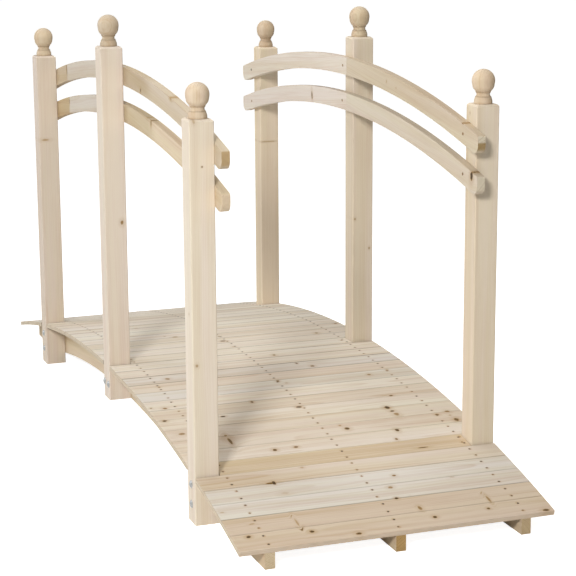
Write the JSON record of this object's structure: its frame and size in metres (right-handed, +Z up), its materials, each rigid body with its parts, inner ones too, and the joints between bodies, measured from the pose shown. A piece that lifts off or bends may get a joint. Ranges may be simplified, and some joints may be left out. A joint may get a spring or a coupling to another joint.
{
  "type": "arched garden footbridge",
  "caption": "Arched wooden garden footbridge with a cambered board deck, square posts with ball finials and a double arched handrail on each side.",
  "frame": {"origin": "centre of the bridge on the ground", "axes": "+X along the span towards the near end, +Y to the right-hand side seen from the near end, +Z up"},
  "size_m": [2.291, 0.783, 1.1379],
  "materials": {
    "deck_fir": "planed, unfinished",
    "stringer_fir": "sawn and planed, unfinished",
    "post_fir": "planed, unfinished",
    "rail_fir": "planed, unfinished",
    "turned_fir": "turned and sanded, unfinished",
    "zinc": "zinc plated"
  },
  "bodies": {
    "root": {"bolts_far_left": "zinc", "bolts_far_right": "zinc", "bolts_middle_left": "zinc", "bolts_middle_right": "zinc", "bolts_near_left": "zinc", "bolts_near_right": "zinc", "deck_board_far_posts": "deck_fir", "deck_board_middle_posts": "deck_fir", "deck_board_near_posts": "deck_fir", "deck_boards_far_bay": "deck_fir", "deck_boards_far_end": "deck_fir", "deck_boards_near_bay": "deck_fir", "deck_boards_near_end": "deck_fir", "finial_far_left": "turned_fir", "finial_far_right": "turned_fir", "finial_middle_left": "turned_fir", "finial_middle_right": "turned_fir", "finial_near_left": "turned_fir", "finial_near_right": "turned_fir", "lower_rail_left_far": "rail_fir", "lower_rail_left_near": "rail_fir", "lower_rail_right_far": "rail_fir", "lower_rail_right_near": "rail_fir", "post_far_left": "post_fir", "post_far_right": "post_fir", "post_middle_left": "post_fir", "post_middle_right": "post_fir", "post_near_left": "post_fir", "post_near_right": "post_fir", "stringer_left_far": "stringer_fir", "stringer_left_near": "stringer_fir", "stringer_middle_far": "stringer_fir", "stringer_middle_near": "stringer_fir", "stringer_right_far": "stringer_fir", "stringer_right_near": "stringer_fir", "upper_rail_left_far": "rail_fir", "upper_rail_left_near": "rail_fir", "upper_rail_right_far": "rail_fir", "upper_rail_right_near": "rail_fir"}
  },
  "joints": []
}
